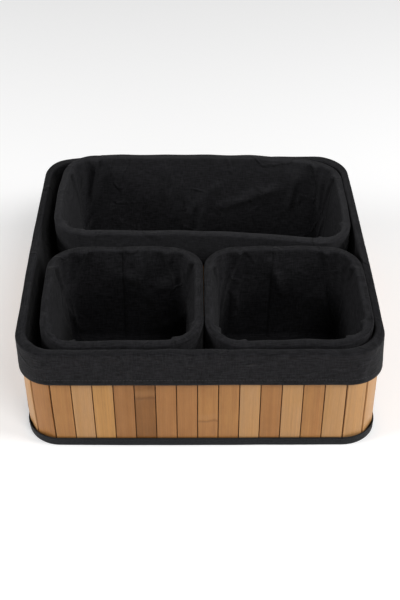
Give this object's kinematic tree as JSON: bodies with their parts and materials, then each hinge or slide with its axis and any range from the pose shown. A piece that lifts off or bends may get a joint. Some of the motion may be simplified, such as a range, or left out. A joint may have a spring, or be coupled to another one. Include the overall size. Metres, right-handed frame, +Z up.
{
  "type": "storage basket set",
  "caption": "Low square tray basket of bamboo slats with a black cloth liner, holding one long and two near-square lift-out baskets made the same way.",
  "frame": {"origin": "middle of the tray's underside, on the surface it stands on", "axes": "+Z up, front of the tray towards -Y, +X to the right seen from the front"},
  "size_m": [0.3472, 0.3472, 0.1261],
  "materials": {
    "bamboo": "satin lacquered bamboo slats with fine grain and node marks",
    "liner_cloth": "matt black woven cloth with a slubby weft",
    "binding_tape": "black woven tape with a slight sheen",
    "backing_cloth": "coarse dark gauze glued behind the slats",
    "base_board": "raw brown fibreboard",
    "base_cloth": "matt black non-woven cloth"
  },
  "bodies": {
    "tray": {"tray_backing_cloth": "backing_cloth", "tray_base_board": "base_board", "tray_base_cloth": "base_cloth", "tray_bottom_tape": "binding_tape", "tray_slats_back": "bamboo", "tray_slats_back_left": "bamboo", "tray_slats_front": "bamboo", "tray_slats_front_right": "bamboo", "tray_slats_left": "bamboo", "tray_slats_left_front": "bamboo", "tray_slats_right": "bamboo", "tray_slats_right_back": "bamboo", "tray_top_tape": "binding_tape"},
    "tray_liner": {"tray_liner_floor": "liner_cloth", "tray_liner_wall": "liner_cloth"},
    "long_basket": {"long_backing_cloth": "backing_cloth", "long_base_board": "base_board", "long_base_cloth": "base_cloth", "long_bottom_tape": "binding_tape", "long_slats_back": "bamboo", "long_slats_back_left": "bamboo", "long_slats_front": "bamboo", "long_slats_front_right": "bamboo", "long_slats_left": "bamboo", "long_slats_left_front": "bamboo", "long_slats_right": "bamboo", "long_slats_right_back": "bamboo", "long_top_tape": "binding_tape"},
    "long_liner": {"long_liner_floor": "liner_cloth", "long_liner_wall": "liner_cloth"},
    "left_basket": {"left_backing_cloth": "backing_cloth", "left_base_board": "base_board", "left_base_cloth": "base_cloth", "left_bottom_tape": "binding_tape", "left_slats_back": "bamboo", "left_slats_back_left": "bamboo", "left_slats_front": "bamboo", "left_slats_front_right": "bamboo", "left_slats_left": "bamboo", "left_slats_left_front": "bamboo", "left_slats_right": "bamboo", "left_slats_right_back": "bamboo", "left_top_tape": "binding_tape"},
    "left_liner": {"left_liner_floor": "liner_cloth", "left_liner_wall": "liner_cloth"},
    "right_basket": {"right_backing_cloth": "backing_cloth", "right_base_board": "base_board", "right_base_cloth": "base_cloth", "right_bottom_tape": "binding_tape", "right_slats_back": "bamboo", "right_slats_back_left": "bamboo", "right_slats_front": "bamboo", "right_slats_front_right": "bamboo", "right_slats_left": "bamboo", "right_slats_left_front": "bamboo", "right_slats_right": "bamboo", "right_slats_right_back": "bamboo", "right_top_tape": "binding_tape"},
    "right_liner": {"right_liner_floor": "liner_cloth", "right_liner_wall": "liner_cloth"}
  },
  "joints": [
    {"name": "tray_liner_lift", "type": "slide", "parent": "tray", "child": "tray_liner", "axis": [0, 0, 1], "range_m": [0, 0.135]},
    {"name": "long_basket_lift", "type": "slide", "parent": "tray_liner", "child": "long_basket", "axis": [0, 0, 1], "range_m": [0, 0.135]},
    {"name": "long_liner_lift", "type": "slide", "parent": "long_basket", "child": "long_liner", "axis": [0, 0, 1], "range_m": [0, 0.135]},
    {"name": "left_basket_lift", "type": "slide", "parent": "tray_liner", "child": "left_basket", "axis": [0, 0, 1], "range_m": [0, 0.135]},
    {"name": "left_liner_lift", "type": "slide", "parent": "left_basket", "child": "left_liner", "axis": [0, 0, 1], "range_m": [0, 0.135]},
    {"name": "right_basket_lift", "type": "slide", "parent": "tray_liner", "child": "right_basket", "axis": [0, 0, 1], "range_m": [0, 0.135]},
    {"name": "right_liner_lift", "type": "slide", "parent": "right_basket", "child": "right_liner", "axis": [0, 0, 1], "range_m": [0, 0.135]}
  ]
}
